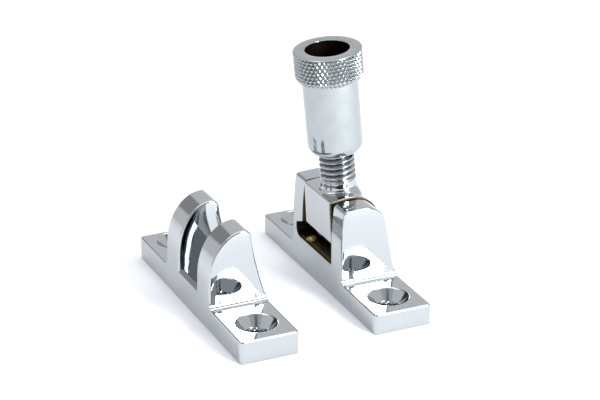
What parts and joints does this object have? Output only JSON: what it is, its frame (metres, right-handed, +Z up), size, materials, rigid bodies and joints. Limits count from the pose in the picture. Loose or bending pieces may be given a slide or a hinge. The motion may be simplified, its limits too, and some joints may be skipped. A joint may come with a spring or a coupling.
{
  "type": "screw-down sash fastener and keep",
  "caption": "Chrome sash fastener: a swivel arm with a knurled screw thimble between two ears on a screw-fixed plate, and its slotted keep.",
  "frame": {"origin": "middle of the fastener plate's underside", "axes": "+Y along both plates, +Z up from the frame that they are screwed to, and the keep stands towards -X"},
  "size_m": [0.0433, 0.0586, 0.0538],
  "materials": {
    "polished_chrome": "mirror-polished chrome plate",
    "knurled_chrome": "chrome plate over a diamond knurl",
    "bare_brass": "dull, unplated",
    "spring_bronze": "dark rolled strip",
    "bright_steel": "turned"
  },
  "bodies": {
    "base": {"fastener_body": "polished_chrome", "pivot_pin": "polished_chrome", "leaf_spring": "spring_bronze", "spring_rivet": "bare_brass", "keep": "polished_chrome"},
    "arm": {"swivel_arm": "polished_chrome", "stop_washer": "bright_steel", "stop_screw": "bright_steel"},
    "bush": {"thimble_bush": "bare_brass"},
    "thimble": {"thimble_sleeve": "knurled_chrome"}
  },
  "joints": [
    {"name": "arm_swing", "type": "hinge", "parent": "base", "child": "arm", "pos_m": [0, 0, 0.014], "axis": [0, 1, 0], "range_deg": [-58.5, 95]},
    {"name": "thimble_travel", "type": "slide", "parent": "arm", "child": "bush", "axis": [-0.0854, 0, 0.9963], "range_m": [-0.005, 0.00719]},
    {"name": "thimble_turn", "type": "hinge", "parent": "bush", "child": "thimble", "pos_m": [-0.0005, 0, 0.014], "axis": [-0.0854, 0, 0.9963], "range_deg": [-1441, 2072]}
  ],
  "couplings": [
    {"joint": "thimble_turn", "follows": "thimble_travel", "rad_per_m": 5026.5}
  ]
}
